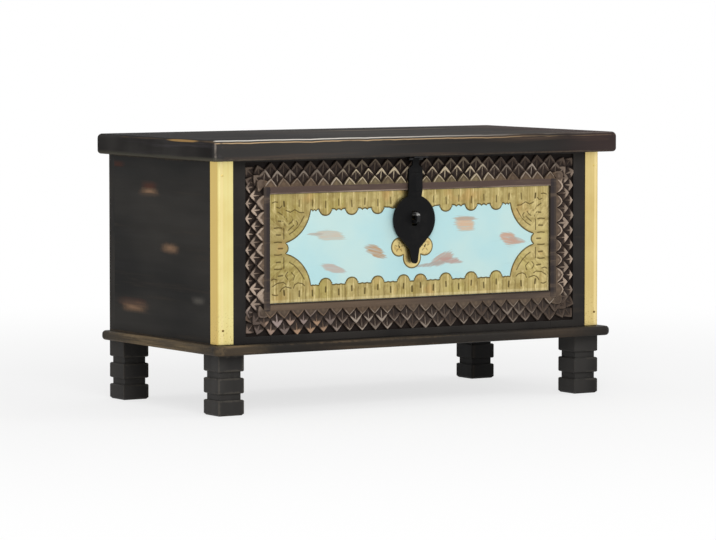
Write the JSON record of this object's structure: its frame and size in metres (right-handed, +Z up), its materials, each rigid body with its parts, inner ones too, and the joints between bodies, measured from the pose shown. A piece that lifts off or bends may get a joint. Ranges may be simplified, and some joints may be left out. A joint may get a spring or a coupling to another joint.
{
  "type": "storage chest",
  "caption": "Carved and painted wooden storage chest on grooved legs, with a hinged overhanging lid, brass trim on the front and an iron hasp over a staple.",
  "frame": {"origin": "on the floor, under the middle of the lid", "axes": "+X to the right along the front, +Y from the front to the back, +Z up"},
  "size_m": [0.8, 0.4, 0.45],
  "materials": {
    "dark_painted_wood": "worn black-brown paint, satin",
    "carved_wood": "dark stain rubbed back to pale wood on the ridges",
    "turquoise_paint": "chalky turquoise paint, rubbed through in patches",
    "dowel_wood": "bare",
    "brass": "beaten sheet, satin",
    "black_iron": "blackened",
    "steel": "plain"
  },
  "bodies": {
    "chest": {"front_left_leg": "dark_painted_wood", "front_right_leg": "dark_painted_wood", "back_left_leg": "dark_painted_wood", "back_right_leg": "dark_painted_wood", "leg_bolts": "steel", "base_board": "dark_painted_wood", "base_screws": "steel", "left_side_panel": "dark_painted_wood", "right_side_panel": "dark_painted_wood", "back_panel": "dark_painted_wood", "corner_dowels": "dowel_wood", "front_top_rail": "carved_wood", "front_bottom_rail": "carved_wood", "front_left_stile": "carved_wood", "front_right_stile": "carved_wood", "front_panel": "turquoise_paint", "brass_border": "brass", "keyhole_plate": "brass", "left_corner_strip": "brass", "right_corner_strip": "brass", "strip_pins": "brass", "staple": "black_iron", "left_chest_hinge_leaf": "black_iron", "right_chest_hinge_leaf": "black_iron", "left_hinge_pin": "steel", "right_hinge_pin": "steel", "chest_hinge_screws": "steel"},
    "lid": {"lid_front_board": "dark_painted_wood", "lid_middle_board": "dark_painted_wood", "lid_back_board": "dark_painted_wood", "lid_dowels": "dowel_wood", "left_lid_hinge_leaf": "black_iron", "right_lid_hinge_leaf": "black_iron", "lid_hinge_screws": "steel", "hasp_plate": "black_iron", "hasp_plate_screws": "steel", "hasp_pin": "steel"},
    "hasp": {"hasp": "black_iron"}
  },
  "joints": [
    {"name": "lid_hinge", "type": "hinge", "parent": "chest", "child": "lid", "pos_m": [0, 0.194, 0.416], "axis": [-1, 0, 0], "range_deg": [0, 95]},
    {"name": "hasp_hinge", "type": "hinge", "parent": "lid", "child": "hasp", "pos_m": [0, -0.177, 0.4125], "axis": [-1, 0, 0], "range_deg": [0, 85]}
  ]
}
